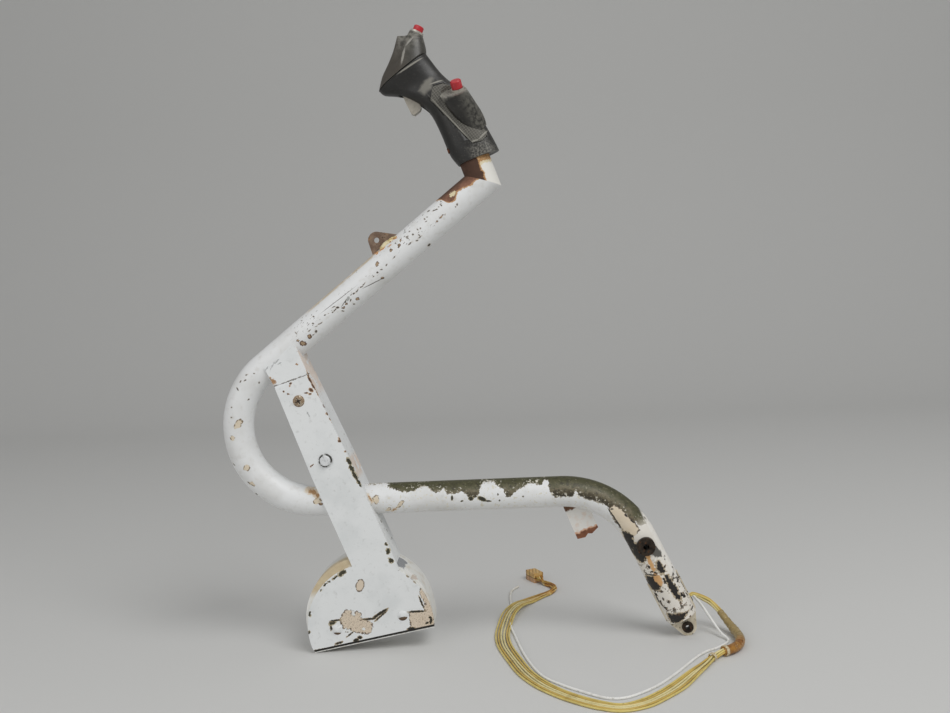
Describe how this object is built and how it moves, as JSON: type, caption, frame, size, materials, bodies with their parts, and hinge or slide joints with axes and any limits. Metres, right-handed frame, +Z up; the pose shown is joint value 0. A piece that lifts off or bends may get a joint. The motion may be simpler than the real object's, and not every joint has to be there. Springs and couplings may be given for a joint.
{
  "type": "aircraft control stick",
  "caption": "Bent tubular control stick with a pistol grip, sprung push buttons and trigger, a braced balance arm with a bob weight, a pivot bush and a loose wire harness.",
  "frame": {"origin": "centre of the pivot bush's bore, on the tube's mid-plane", "axes": "+X to the rear of the aircraft, along the level run towards the pivot; +Y along the pivot bore, to the pilot's right; +Z up, from the lug towards the grip"},
  "size_m": [0.5303, 0.3978, 0.6415],
  "materials": {
    "white_paint": "worn gloss paint with chips",
    "bare_steel": "bare",
    "plated_steel": "plated",
    "brown_screw": "tarnished plating",
    "rusty_steel": "rusty",
    "dark_steel": "dark, worn",
    "black_rubber": "matte",
    "grip_plastic": "worn satin",
    "cover_plastic": "fine cross-hatching",
    "switch_plastic": "matte",
    "collar_metal": "satin",
    "red_plastic": "gloss",
    "trigger_plastic": "satin",
    "cream_wire": "satin insulation",
    "white_wire": "satin insulation",
    "amber_sleeve": "translucent varnish",
    "lacing": "waxed cord",
    "amber_nylon": "nylon",
    "brass": "bare"
  },
  "bodies": {
    "stick": {"stick_tube": "white_paint", "top_stub": "white_paint", "grip_spigot": "bare_steel", "upper_tab": "rusty_steel", "lower_tab": "white_paint", "pivot_bush": "dark_steel", "end_lug": "white_paint", "lug_bush": "dark_steel", "wire_grommet": "black_rubber", "brace_bracket": "white_paint", "arm_channel": "white_paint", "arm_front_plate": "white_paint", "arm_spacers": "plated_steel", "arm_screw": "brown_screw", "arm_bolt": "plated_steel", "arm_washers": "plated_steel", "arm_nuts": "plated_steel", "bob_weight": "white_paint", "weight_rivets": "white_paint", "grip_body": "grip_plastic", "grip_head": "grip_plastic", "grip_side_cover": "cover_plastic", "cover_screws": "dark_steel", "clamp_screw": "dark_steel", "thumb_boss": "grip_plastic", "thumb_switch": "switch_plastic", "thumb_collar": "collar_metal", "thumb_spring": "plated_steel", "top_switch": "switch_plastic", "top_collar": "collar_metal", "top_spring": "plated_steel", "trigger_pin": "plated_steel", "trigger_switch": "switch_plastic", "trigger_spring": "plated_steel", "inner_wires": "cream_wire", "harness_bundle": "cream_wire", "harness_sleeve": "amber_sleeve", "harness_ties": "lacing", "white_wire": "white_wire", "connector_housing": "amber_nylon", "connector_contacts": "brass"},
    "top_button": {"top_button": "red_plastic"},
    "thumb_button": {"thumb_button": "red_plastic"},
    "trigger": {"trigger": "trigger_plastic"}
  },
  "joints": [
    {"name": "top_button_press", "type": "slide", "parent": "stick", "child": "top_button", "axis": [-0.454, 0, -0.891], "range_m": [0, 0.0016], "stiffness_N_per_m": 500, "springref_m": -0.0015, "deforming": ["top_spring"]},
    {"name": "thumb_button_press", "type": "slide", "parent": "stick", "child": "thumb_button", "axis": [0.1986, 0.4695, -0.8603], "range_m": [0, 0.0016], "stiffness_N_per_m": 500, "springref_m": -0.0015, "deforming": ["thumb_spring"]},
    {"name": "trigger_pull", "type": "hinge", "parent": "stick", "child": "trigger", "pos_m": [-0.22282, 0, 0.47837], "axis": [0, -1, 0], "range_deg": [0, 9], "stiffness_Nm_per_rad": 0.4, "springref_deg": -8.59, "deforming": ["trigger_spring"]}
  ]
}
